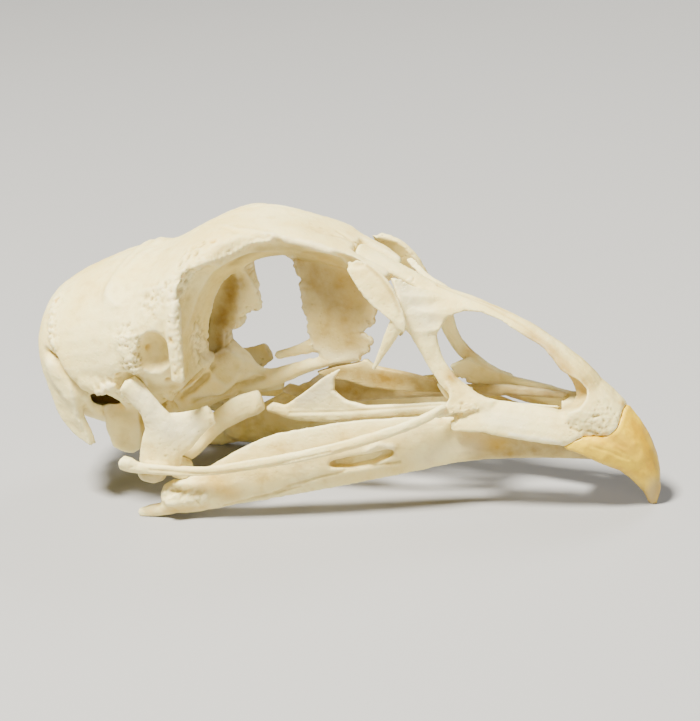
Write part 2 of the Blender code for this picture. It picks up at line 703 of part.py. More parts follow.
def jugal_bar(material, neighbours):
    """The slender cheek bar from the quadrate to the beak."""
    bar = (
        (-23.8, -13.5, 7.6, 0.8, 0.95),
        (-22.8, -13.5, 7.3, 0.75, 0.9),
        (-21.2, -13.4, 6.95, 0.5, 0.7),
        (-14.1, -13.2, 6.8, 0.45, 0.65),
        (-8.0, -12.3, 7.6, 0.45, 0.7),
        (-2.0, -11.1, 8.5, 0.45, 0.72),
        (3.9, -9.8, 9.8, 0.45, 0.7),
        (9.7, -8.4, 11.5, 0.42, 0.65),
        (13.0, -7.3, 12.8, 0.42, 0.6),
        (14.6, -6.8, 13.5, 0.42, 0.6),
    )
    solid = fuse("jugal_bar_right", [limb(bar)])
    clear_of(solid, neighbours)
    return finish(solid, "jugal_bar", material, voxel=FINE_VOXEL, smoothing=2)


def stand_on_floor(item):
    """Cut a small flat at floor level."""
    carve(item, [box((-60, -30, FLOOR - 20), (60, 30, FLOOR))])


def mandible(material, neighbours):
    """The lower jaw: two deep rami that meet at the tip, with hooked rear ends."""
    ramus = (
        (-23.0, -11.7, 0.35, 0.45, 0.5),
        (-21.2, -11.6, 0.75, 0.7, 0.8),
        (-19.6, -11.5, 1.0, 0.95, 0.9),
        (-18.0, -11.4, 2.3, 1.5, 2.0),
        (-15.3, -11.1, 3.0, 1.2, 2.3),
        (-11.9, -10.7, 4.3, 0.85, 3.0),
        (-8.2, -10.1, 5.6, 0.75, 3.7),
        (-5.3, -9.6, 6.5, 0.75, 4.1),
        (-2.4, -9.1, 7.05, 0.75, 4.15),
        (3.0, -7.9, 7.9, 0.75, 4.1),
        (9.0, -6.4, 8.5, 0.75, 3.7),
        (14.8, -4.9, 8.9, 0.75, 3.1),
        (20.6, -3.9, 8.5, 0.8, 2.2),
        (27.4, -2.4, 7.7, 1.0, 1.5),
        (31.4, -1.0, 6.9, 1.2, 1.25),
    )
    heads = both_sides(ellipsoid, (-18.2, -11.3, 2.8), (1.8, 2.1, 1.8), detail=3)
    hooks = both_sides(limb, ((-22.9, -11.7, 0.2, 0.5, 0.5), (-20.2, -11.4, 0.7, 0.8, 0.8)))
    chin = limb(((28.0, 0.0, 7.3, 2.2, 1.1), (30.4, 0.0, 6.9, 2.2, 1.2), (32.6, 0.0, 6.4, 1.0, 0.9)),
                sides=16)
    solid = fuse("mandible", both_sides(limb, ramus) + heads + hooks + [chin])
    slots = both_sides(limb, ((1.0, -9.9, 6.7, 2.0, 0.4), (3.4, -9.4, 6.8, 2.0, 1.0),
                              (6.0, -8.8, 7.2, 2.0, 1.0), (8.4, -8.2, 8.2, 2.0, 0.5)))
    carve(solid, slots)
    clear_of(solid, neighbours)
    finish(solid, "mandible", material)
    stand_on_floor(solid)
    return solid


# Materials

def plain_material(name, colour, roughness):
    """A Principled material with one colour."""
    material = bpy.data.materials.new(name)
    material.use_nodes = True
    shader = material.node_tree.nodes["Principled BSDF"]
    shader.inputs["Base Color"].default_value = (*colour, 1.0)
    shader.inputs["Roughness"].default_value = roughness
    shader.inputs["Metallic"].default_value = 0.0
    return material


def to_metres():
    """Bring the skull's middle over the origin and scale every mesh from millimetres."""
    for item in bpy.data.objects:
        item.data.transform(Matrix.Scale(MM, 4) @ Matrix.Translation((-MIDDLE_X, 0.0, 0.0)))
        item.data.shade_smooth()
        item.data.set_sharp_from_angle(angle=math.radians(50))


def main():
    clear_scene()
    bone = plain_material("bone", (0.80, 0.72, 0.55), 0.6)
    horn = plain_material("horn", (0.78, 0.55, 0.10), 0.35)
    skull = cranium(bone)
    beak = upper_beak(bone, [skull])
    tip = beak_horn(horn, [beak])
    tear_bone = lacrimal(bone, [skull, beak])
    hanger = quadrate(bone, [skull])
    palate = palatine(bone, [skull, beak])
    strut = pterygoid(bone, [skull, hanger, palate])
    vomer(bone, [skull, palate, mirrored(palate, "palatine_left"), beak])
    cheek = jugal_bar(bone, [hanger, beak])
    pairs = ((tear_bone, "lacrimal_left"), (hanger, "quadrate_left"), (strut, "pterygoid_left"),
             (cheek, "jugal_bar_left"))
    lefts = [mirrored(item, name) for item, name in pairs]
    near_jaw = [tip, beak, hanger, strut, cheek, palate, bpy.data.objects["palatine_left"]]
    mandible(bone, near_jaw + lefts[1:])
    to_metres()


main()
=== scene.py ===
"""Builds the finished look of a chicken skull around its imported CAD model."""

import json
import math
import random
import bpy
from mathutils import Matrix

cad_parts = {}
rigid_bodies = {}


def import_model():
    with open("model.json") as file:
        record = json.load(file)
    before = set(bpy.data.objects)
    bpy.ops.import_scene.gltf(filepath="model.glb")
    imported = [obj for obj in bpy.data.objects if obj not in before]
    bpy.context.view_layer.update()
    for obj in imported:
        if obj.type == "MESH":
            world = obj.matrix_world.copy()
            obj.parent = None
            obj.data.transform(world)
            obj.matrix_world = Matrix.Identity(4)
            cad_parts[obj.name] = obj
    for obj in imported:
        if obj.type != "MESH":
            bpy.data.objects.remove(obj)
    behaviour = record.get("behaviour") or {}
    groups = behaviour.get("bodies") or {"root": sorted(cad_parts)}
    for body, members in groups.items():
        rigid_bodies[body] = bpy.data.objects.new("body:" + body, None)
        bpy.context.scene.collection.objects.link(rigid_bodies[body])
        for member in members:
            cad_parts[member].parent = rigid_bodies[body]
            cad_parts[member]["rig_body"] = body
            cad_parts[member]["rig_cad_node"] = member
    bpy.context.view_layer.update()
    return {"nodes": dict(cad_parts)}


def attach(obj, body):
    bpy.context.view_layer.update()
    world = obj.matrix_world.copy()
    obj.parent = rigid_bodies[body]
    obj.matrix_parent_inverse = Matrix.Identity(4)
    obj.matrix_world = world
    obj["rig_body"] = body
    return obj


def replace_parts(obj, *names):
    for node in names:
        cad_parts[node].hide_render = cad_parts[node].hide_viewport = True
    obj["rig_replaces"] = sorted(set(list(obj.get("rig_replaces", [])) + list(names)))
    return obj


bl_info = {
    "name": "Chicken Skull",
    "version": (1, 0, 0),
    "blender": (4, 5, 0),
    "location": "View3D > Sidebar > Skull",
    "description": "Bare bones and beak horn of a chicken skull, finished around the CAD frame",
    "category": "Add Mesh",
}

import bpy
import numpy as np
from bpy.props import FloatProperty, FloatVectorProperty, IntProperty, PointerProperty
from mathutils import Matrix, Vector, noise
from mathutils.bvhtree import BVHTree

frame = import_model()

MM = 0.001
ROOT = "root"

# Strokes are counted in millimetres from this far behind the skull's middle
MIDDLE_X = 0.65

# The photograph's frame and the place it was taken from
PHOTO_SIZE = (700.0, 721.0)
PHOTO_TARGET = (1.4, 0.0, 16.6)
PHOTO_AZIMUTH = 18.0
PHOTO_ELEVATION = 20.0
PHOTO_ROLL = -4.2
PHOTO_DISTANCE = 300.0
PIXELS_PER_MM = 8.3
SENSOR = 36.0

# The brain's hollow in the CAD model
BRAIN_CENTRE = (-26.1, 0.0, 19.6)
BRAIN_RADII = (9.8, 11.3, 8.8)
BRAIN_LEAN = 0.27

# The wall between the orbits: half its thickness, its rear end and its lowest level
SEPTUM_HALF = 0.8
SEPTUM_REAR = -6.0
SEPTUM_BOTTOM = 17.4

# Skins: the two large bones have a coarser grid, and these two steps smooth and keep the volume
CRANIUM_GRID = 1.4
MANDIBLE_GRID = 1.25
SMOOTH_STEPS = (0.5, -0.52)

# How far a skin is drawn to the next bone, and how far the horn laps over the bone
MEET_REACH = 0.6
HORN_LAP = 0.05

# Hollows: rounds of smoothing that find the hollows, their full depth, where they get stain and painted
# shade, and how much edges that stand out are lightened
HOLLOW_ROUNDS = 14
HOLLOW_DEPTH = 0.12
EDGE_LIGHTEN = 0.5

# A stroke's weight from which it counts, and from which pores sit in it
FAINT = 0.01
STRONG = 0.35

# Blender takes the seed of its vector noise from the clock, unless a script sets it
FRAY_SEED = 1

# The stain paint holds ochre stains and painted shade; dark holds pores, cracks and painted shade; pale holds
# whiter bone and painted highlight
PAINTS = ("stain_and_shade", "pale", "dark", "amber")

# Constant settings of the two finishes, by the shader's own names
BONE_SHADER = {
    "Subsurface Weight": 0.15,
    "Subsurface Radius": (1.0, 0.6, 0.35),
    "Subsurface Scale": 1.2 * MM,
    "Specular IOR Level": 0.35,
}
HORN_SHADER = {
    "Subsurface Weight": 0.1,
    "Subsurface Radius": (1.0, 0.6, 0.2),
    "Subsurface Scale": 1.5 * MM,
}

# Studio lights: name, place and width in metres, watts and colour
LIGHTS = (
    ("key", (-0.14, -0.22, 0.60), 0.14, 19.0, (1.0, 0.96, 0.87)),
    ("fill", (0.30, -0.50, 0.16), 0.4, 1.3, (1.0, 0.97, 0.93)),
    ("rim", (0.15, 0.40, 0.45), 0.25, 2.0, (1.0, 1.0, 1.0)),
)
SKY_COLOUR = (0.9, 0.93, 1.0, 1.0)
SKY_STRENGTH = 0.06
FLOOR_WIDTH = 3.0


# Photograph's view

def photo_axes():
    """Right, up and backwards of the photograph's camera."""
    azimuth = math.radians(PHOTO_AZIMUTH)
    elevation = math.radians(PHOTO_ELEVATION)
    roll = math.radians(PHOTO_ROLL)
    back = Vector((math.sin(azimuth) * math.cos(elevation), -math.cos(azimuth) * math.cos(elevation),
                   math.sin(elevation)))
    right = Vector((math.cos(azimuth), math.sin(azimuth), 0.0))
    up = back.cross(right)
    level = right * math.cos(roll) + up * math.sin(roll)
    upright = up * math.cos(roll) - right * math.sin(roll)
    return level, upright, back


def photo_ray(pixel):
    """Where a pixel's line of sight starts and its direction, in millimetres."""
    right, up, back = photo_axes()
    focal = PIXELS_PER_MM * PHOTO_DISTANCE
    eye = Vector(PHOTO_TARGET) + back * PHOTO_DISTANCE
    across = (pixel[0] - PHOTO_SIZE[0] / 2) / focal
    down = (pixel[1] - PHOTO_SIZE[1] / 2) / focal
    return eye, (right * across - up * down - back).normalized()


# Modelling steps

def only(item):
    """Make this the one selected and active object."""
    bpy.ops.object.select_all(action="DESELECT")
    item.select_set(True)
    bpy.context.view_layer.objects.active = item


def modify(item, kind, **settings):
    """Add a modifier, set it and apply it."""
    only(item)
    bpy.ops.object.modifier_add(type=kind)
    modifier = item.modifiers[-1]
    for key, value in settings.items():
        setattr(modifier, key, value)
    bpy.ops.object.modifier_apply(modifier=modifier.name)


def bone_copy(node, name):
    """A merged copy of a CAD node, free to be worked on."""
    only(frame["nodes"][node])
    bpy.ops.object.duplicate()
    item = bpy.context.active_object
    item.name = name
    item.data.name = name
    item.parent = None
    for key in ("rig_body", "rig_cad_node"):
        if key in item:
            del item[key]
    only(item)
    bpy.ops.object.mode_set(mode="EDIT")
    bpy.ops.mesh.select_all(action="SELECT")
    bpy.ops.mesh.remove_doubles(threshold=0.000001)
    bpy.ops.object.mode_set(mode="OBJECT")
    item.data.materials.clear()
    return item


def even_skin(item, voxel, rounds):
    """Rebuild the surface as a fine even skin and take the facets out of it."""
    modify(item, "REMESH", mode="VOXEL", voxel_size=voxel * MM)
    relax(item, rounds)


def smooth(place, mesh, rounds, steps):
    """Move each point towards its neighbours' middle, by each step in turn, in place."""
    count = len(place)
    ends = np.empty(len(mesh.edges) * 2, np.int64)
    mesh.edges.foreach_get("vertices", ends)
    first, second = ends.reshape(-1, 2).T
    share = 1.0 / np.maximum(np.bincount(ends, minlength=count), 1)[:, None]
    for _ in range(rounds):
        for step in steps:
            total = np.empty_like(place)
            for axis in range(3):
                total[:, axis] = (np.bincount(first, place[second, axis], count)
                                  + np.bincount(second, place[first, axis], count))
            place += (total * share - place) * step


def relax(item, rounds):
    """Smooth the skin in pairs of steps that keep its volume."""
    mesh = item.data
    place = np.empty(len(mesh.vertices) * 3)
    mesh.vertices.foreach_get("co", place)
    place = place.reshape(-1, 3)
    smooth(place, mesh, rounds, SMOOTH_STEPS)
    mesh.vertices.foreach_set("co", place.ravel())
    mesh.update()


def thin_to(item, triangles):
    """Lower the triangle count where the skin is nearly flat."""
    count = sum(len(face.vertices) - 2 for face in item.data.polygons)
    if count > triangles:
        modify(item, "DECIMATE", ratio=triangles / count)


class Clay:
    """A bone's skin in millimetres, pushed and painted by strokes.

    A stroke is a list of the photograph's pixels, which fall on the skin along their lines of
    sight, or of points in space. Strokes on a bone that has both sides are repeated on the left.
    """

    def __init__(self, item, both=True):
        self.item = item
        self.both = both
        mesh = item.data
        count = len(mesh.vertices)
        place = np.empty(count * 3)
        mesh.vertices.foreach_get("co", place)
        self.place = place.reshape(-1, 3) / MM + (MIDDLE_X, 0.0, 0.0)
        self.paints = {name: np.zeros(count) for name in PAINTS}
        self.tree = BVHTree.FromPolygons(self.place.tolist(), [tuple(f.vertices) for f in mesh.polygons])
        self.refresh()

    def refresh(self):
        """Write the places back and read the normals that they give."""
        mesh = self.item.data
        metres = (self.place - (MIDDLE_X, 0.0, 0.0)) * MM
        mesh.vertices.foreach_set("co", metres.ravel())
        mesh.update()
        normals = np.empty(len(self.place) * 3)
        mesh.vertex_normals.foreach_get("vector", normals)
        self.normals = normals.reshape(-1, 3)

    def spot(self, point):
        """A point in space, or the place where a pixel falls on the skin."""
        if len(point) == 3:
            return Vector(point)
        eye, direction = photo_ray(point)
        hit = self.tree.ray_cast(eye, direction)[0]
        if hit is None:
            middle = eye + direction * PHOTO_DISTANCE
            hit = self.tree.find_nearest(middle)[0]
        return hit

    def all_over(self):
        """Full weight for the whole skin."""
        return np.ones(len(self.place))

    def near(self, path, width):
        """How strongly a stroke touches each point of the skin, from 0 to 1."""
        spots = np.array([self.spot(point) for point in path])
        weight = self.touch(spots, width)
        if self.both:
            weight = np.maximum(weight, self.touch(spots * (1, -1, 1), width))
        return weight

    def touch(self, spots, width):
        """The same for places in space, without the other side."""
        nearest = np.full(len(self.place), np.inf)
        starts = spots if len(spots) == 1 else spots[:-1]
        finishes = spots if len(spots) == 1 else spots[1:]
        for start, finish in zip(starts, finishes):
            run = finish - start
            length = max(float(run @ run), 1e-9)
            share = np.clip((self.place - start) @ run / length, 0, 1)
            gap = self.place - start - share[:, None] * run
            nearest = np.minimum(nearest, np.einsum("ij,ij->i", gap, gap))
        return np.exp(-nearest / width ** 2)

    def push(self, path, width, height):
        """Raise the skin along a stroke, or lower it with a negative height."""
        self.place += self.normals * (self.near(path, width) * height)[:, None]
        self.refresh()

    def pull(self, path, width, shift):
        """Draw the skin out along a direction, as for a spike."""
        spots = np.array([self.spot(point) for point in path])
        self.place += self.touch(spots, width)[:, None] * shift
        if self.both:
            shift = np.array(shift) * (1, -1, 1)
            self.place += self.touch(spots * (1, -1, 1), width)[:, None] * shift
        self.refresh()

    def fringe(self, path, spacing, width, height, seed):
        """A row of small teeth along a line."""
        draw = random.Random(seed)
        spots = [self.spot(point) for point in path]
        lift = np.zeros(len(self.place))
        for start, finish in zip(spots, spots[1:]):
            run = finish - start
            count = max(1, round(run.length / spacing))
            for step in range(count):
                share = (step + draw.uniform(0.2, 0.8)) / count
                tooth = start + run * share
                size = draw.uniform(0.5, 1.0)
                for side in ((1, -1) if self.both else (1,)):
                    gap = ((self.place - (tooth.x, tooth.y * side, tooth.z)) ** 2).sum(axis=1)
                    lift = np.maximum(lift, np.exp(-gap / width ** 2) * size)
        self.place += self.normals * (lift * height)[:, None]
        self.refresh()

    def hollows(self, amount=0.6):
        """Darken what lies in hollows with stain and painted shade, and lighten what stands out."""
        relaxed = self.place.copy()
        smooth(relaxed, self.item.data, HOLLOW_ROUNDS, (0.6,))
        lift = ((relaxed - self.place) * self.normals).sum(axis=1) / HOLLOW_DEPTH
        # Hollows get stain together with painted shade; edges that stand out get pale paint
        self.paints["stain_and_shade"] = np.maximum(self.paints["stain_and_shade"], np.clip(lift, 0, 1) * amount)
        self.paints["pale"] = np.maximum(self.paints["pale"], np.clip(-lift, 0, 1) * EDGE_LIGHTEN)

    def ripple(self, weight, height, grain, seed):
        """Roughen the skin by noise of the given grain where the weight is."""
        shift = Vector((seed, seed * 1.7, seed * 2.3))
        for index in np.nonzero(weight > FAINT)[0]:
            spot = Vector(self.place[index]) / grain + shift
            lift = noise.fractal(spot, 1.0, 2.0, 3)
            self.place[index] += self.normals[index] * (weight[index] * height * lift)
        self.refresh()

    def pit(self, weight, count, radius, depth, seed):
        """Small pores over the places where the weight is."""
        draw = random.Random(seed)
        chosen = np.nonzero(weight > STRONG)[0]
        lowering = np.zeros(len(self.place))
        for _ in range(count):
            centre = self.place[chosen[draw.randrange(len(chosen))]]
            size = radius * draw.uniform(0.6, 1.3)
            gap = ((self.place - centre) ** 2).sum(axis=1)
            lowering = np.maximum(lowering, np.exp(-gap / size ** 2) * draw.uniform(0.5, 1.0))
        self.place -= self.normals * (lowering * depth)[:, None]
        self.paints["dark"] = np.maximum(self.paints["dark"], lowering * 0.5)
        self.refresh()

    def fray(self, weight, reach, grain, seed):
        """Move a thin plate's edge about in its own plane, so that it ends ragged."""
        noise.seed_set(FRAY_SEED)
        for index in np.nonzero(weight > FAINT)[0]:
            spot = Vector(self.place[index])
            spot.y *= 0.2
            drift = noise.noise_vector(spot / grain + Vector((seed, 0, 0)))
            drift += noise.noise_vector(spot / grain * 2.3 + Vector((0, seed, 0))) * 0.5
            drift.y *= 0.15
            self.place[index] += np.array(drift) * (reach * weight[index])
        self.refresh()

    def tint(self, paint, path, width, amount=1.0):
        """Paint one of the named stains along a stroke."""
        self.paints[paint] = np.maximum(self.paints[paint], self.near(path, width) * amount)

    def meet(self, nodes, leave):
        """Draw the skin up to the bones beside it, so that only a fine seam is left."""
        for node in nodes:
            mesh = frame["nodes"][node].data
            points = [tuple(Vector(v.co) / MM + Vector((MIDDLE_X, 0, 0))) for v in mesh.vertices]
            other = BVHTree.FromPolygons(points, [tuple(face.vertices) for face in mesh.polygons])
            low = np.min(points, axis=0) - MEET_REACH
            high = np.max(points, axis=0) + MEET_REACH
            inside = np.all((self.place > low) & (self.place < high), axis=1)
            for index in np.nonzero(inside)[0]:
                spot = Vector(self.place[index])
                hit, _, _, gap = other.find_nearest(spot, MEET_REACH)
                if hit is None or gap < leave:
                    continue
                share = 0.5 * (1 - (gap / MEET_REACH) ** 4)
                self.place[index] += np.array(hit - spot) * share * (1 - leave / gap)
        self.refresh()

    def close(self, slot):
        """Store the paints and hand the bone over to the frame."""
        mesh = self.item.data
        for name, values in self.paints.items():
            attribute = mesh.attributes.new(name, "FLOAT", "POINT")
            attribute.data.foreach_set("value", np.clip(values, 0, 1).astype(np.float32))
        only(self.item)
        bpy.ops.object.shade_smooth()
        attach(self.item, ROOT)
        return self.item


def left_copy(item, name, node, stain_and_shade=0.0):
    """The same bone on the left side, as its mirror image, darker if asked by added stain and painted shade
    of the far side.
    """
    only(item)
    bpy.ops.object.duplicate()
    double = bpy.context.active_object
    double.name = name
    double.data.name = name
    double.data.transform(Matrix.Scale(-1, 4, Vector((0, 1, 0))))
    double.data.flip_normals()
    values = np.empty(len(double.data.vertices), np.float32)
    stored = double.data.attributes["stain_and_shade"].data
    stored.foreach_get("value", values)
    # Extra stain on the far side: partly ochre, partly painted shade away from the lamps
    stored.foreach_set("value", np.clip(values + stain_and_shade, 0, 1))
    if "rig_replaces" in double:
        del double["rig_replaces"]
    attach(double, ROOT)
    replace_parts(double, node)
    return double


# Materials

class Wire:
    """A shader socket that can stand in a sum."""

    def __init__(self, tree, socket):
        self.tree = tree
        self.socket = socket

    def math(self, operation, first, second):
        """A new Math node on two wires or numbers."""
        made = self.tree.nodes.new("ShaderNodeMath")
        made.operation = operation
        for place, value in zip(made.inputs, (first, second)):
            if isinstance(value, Wire):
                self.tree.links.new(value.socket, place)
            else:
                place.default_value = value
        return Wire(self.tree, made.outputs[0])

    def __add__(self, other):
        return self.math("ADD", self, other)

    def __radd__(self, other):
        return self.math("ADD", other, self)

    def __mul__(self, other):
        return self.math("MULTIPLY", self, other)

    def __rmul__(self, other):
        return self.math("MULTIPLY", other, self)


class Surface:
    """One material's nodes, from its name and the constants of its shader."""

    def __init__(self, name, constants):
        self.material = bpy.data.materials.new(name)
        self.material.use_nodes = True
        self.tree = self.material.node_tree
        self.shader = self.tree.nodes["Principled BSDF"]
        for key, value in constants.items():
            self.shader.inputs[key].default_value = value

    def node(self, kind, settings=None, inputs=None, output=0):
        """Any node: its settings first, then the values or wires of its sockets."""
        made = self.tree.nodes.new(kind)
        for key, value in (settings or {}).items():
            setattr(made, key, value)
        for key, value in (inputs or {}).items():
            if isinstance(value, Wire):
                self.tree.links.new(value.socket, made.inputs[key])
            else:
                made.inputs[key].default_value = value
        return Wire(self.tree, made.outputs[output])

    def place(self, scale=(1.0, 1.0, 1.0)):
        """The point on the object, stretched by the scale."""
        point = self.node("ShaderNodeTexCoord", output="Object")
        return self.node("ShaderNodeMapping", inputs={"Vector": point, "Scale": scale})

    def clouds(self, size, detail=3.0, stretch=(1.0, 1.0, 1.0)):
        """Soft noise from 0 to 1, with the given size in millimetres."""
        return self.node("ShaderNodeTexNoise", inputs={
            "Vector": self.place(stretch), "Scale": 1.0 / (size * MM), "Detail": detail,
            "Roughness": 0.55})

    def between(self, value, low, high):
        """The value's place between two limits, from 0 to 1."""
        return self.node("ShaderNodeMapRange", {"interpolation_type": "SMOOTHSTEP"}, {
            "Value": value, "From Min": low, "From Max": high})

    def paint(self, name):
        """One of the stains painted on the skin."""
        return self.node("ShaderNodeAttribute", {"attribute_name": name}, output="Fac")

    def blend(self, factor, first, second):
        """Two colours mixed."""
        mixer = self.tree.nodes.new("ShaderNodeMix")
        mixer.data_type = "RGBA"
        for place, value in ((0, factor), (6, first), (7, second)):
            if isinstance(value, Wire):
                self.tree.links.new(value.socket, mixer.inputs[place])
            else:
                mixer.inputs[place].default_value = value if place == 0 else (*value, 1.0)
        return Wire(self.tree, mixer.outputs[2])

    def give(self, socket, wire):
        """Feed one of the shader's sockets."""
        self.tree.links.new(wire.socket, self.shader.inputs[socket])

    def bump(self, height, distance):
        """A fine relief, its depth in millimetres."""
        wire = self.node("ShaderNodeBump", inputs={
            "Height": height, "Distance": distance * MM, "Strength": 1.0})
        self.give("Normal", wire)


def bone_material(look, name, warmth=0.0, fibre=0.0):
    """Dry bone: cream and ivory, with ochre stains, painted shade and painted highlight, pores and fine
    fibres along its length.
    """
    made = Surface(name, BONE_SHADER)
    broad = made.clouds(9.0, 4.0)
    middle = made.clouds(2.2, 5.0)
    fine = made.clouds(0.45, 4.0)
    colour = made.blend(made.between(broad, 0.35, 0.68), look.ivory, look.cream)
    colour = made.blend(made.between(middle, 0.5, 0.75) * (0.35 + warmth), colour, look.tan)
    colour = made.blend(made.between(fine, 0.58, 0.8) * 0.25, colour, look.tan)
    # Stain brings ochre for real stains and for painted shade; pale also brings painted highlight and dark
    # also painted shade
    stain_and_shade = made.paint("stain_and_shade")
    colour = made.blend(stain_and_shade * (0.35 + middle), colour, look.ochre)
    colour = made.blend(made.paint("amber") * (0.5 + middle), colour, look.amber)
    colour = made.blend(made.paint("pale") * (0.2 + middle), colour, look.pale)
    colour = made.blend(made.paint("dark") * 0.8, colour, look.umber)
    made.give("Base Color", colour)
    made.give("Roughness", 0.42 + middle * 0.25)
    pores = made.node("ShaderNodeTexVoronoi", inputs={"Vector": made.place(), "Scale": 1.0 / (0.55 * MM)})
    streaks = made.clouds(0.5, 3.0, stretch=(0.12, 1.0, 1.0))
    relief = fine * 0.5 + made.between(pores, 0.0, 0.35) * 0.3 + streaks * fibre
    made.bump(relief, 0.09)
    return made.material


def horn_material(look):
    """Horn: saturated yellow, amber in the middle and clear grey-cream at the edge and tip."""
    made = Surface("horn", HORN_SHADER)
    middle = made.clouds(2.5, 4.0)
    fine = made.clouds(0.4, 4.0, stretch=(1.0, 1.0, 0.4))
    colour = made.blend(made.between(middle, 0.35, 0.7), look.yellow, look.amber)
    colour = made.blend(made.paint("amber"), colour, look.amber)
    colour = made.blend(made.paint("pale") * (0.6 + middle * 0.7), colour, look.clear_horn)
    made.give("Base Color", colour)
    made.give("Roughness", 0.28 + fine * 0.3)
    made.bump(fine * 0.6 + middle * 0.4, 0.04)
    return made.material


# The user's settings

def colour_setting(name, description, default):
    """A colour that the user can change."""
    return FloatVectorProperty(name=name, description=description, default=default, subtype="COLOR",
                               min=0.0, max=1.0, size=3)


class SkullLook(bpy.types.PropertyGroup):
    """Sizes and colours of the finished skull."""

    ivory: colour_setting("Ivory", "Lightest bone", (0.92, 0.80, 0.36))
    cream: colour_setting("Cream", "Common bone", (0.86, 0.69, 0.23))
    tan: colour_setting("Tan", "Darker patches of the bone", (0.58, 0.39, 0.08))
    # Ochre colours the real stains and also the painted shade in hollows, under the roof and on the far side
    ochre: colour_setting("Ochre", "Stains in the hollows", (0.27, 0.16, 0.015))
    # Pale also gives the painted highlight on the quadrates and the palatine leaf
    pale: colour_setting("Pale", "Thin, whiter bone", (0.90, 0.85, 0.58))
    # Umber also gives the painted shade over the septum and the palatine leaf
    umber: colour_setting("Umber", "Pores and deep cracks", (0.12, 0.06, 0.015))
    yellow: colour_setting("Yellow", "Horn of the beak", (0.92, 0.61, 0.0))
    amber: colour_setting("Amber", "Deep middle of the horn", (0.64, 0.36, 0.0))
    clear_horn: colour_setting("Clear horn", "Thin edge and tip of the horn", (0.44, 0.33, 0.14))
    floor: colour_setting("Floor", "Studio floor", (0.35, 0.35, 0.345))
    seam: FloatProperty(name="Seam", description="Gap left between bones that meet, in millimetres",
                        default=0.06, min=0.0, max=0.3)
    skin: FloatProperty(name="Skin", description="Grid of the finest skin, in millimetres",
                        default=0.13, min=0.05, max=0.5)
    triangles: IntProperty(name="Triangles", description="Most triangles in one piece",
                           default=190000, min=20000, max=199000)


# Pieces

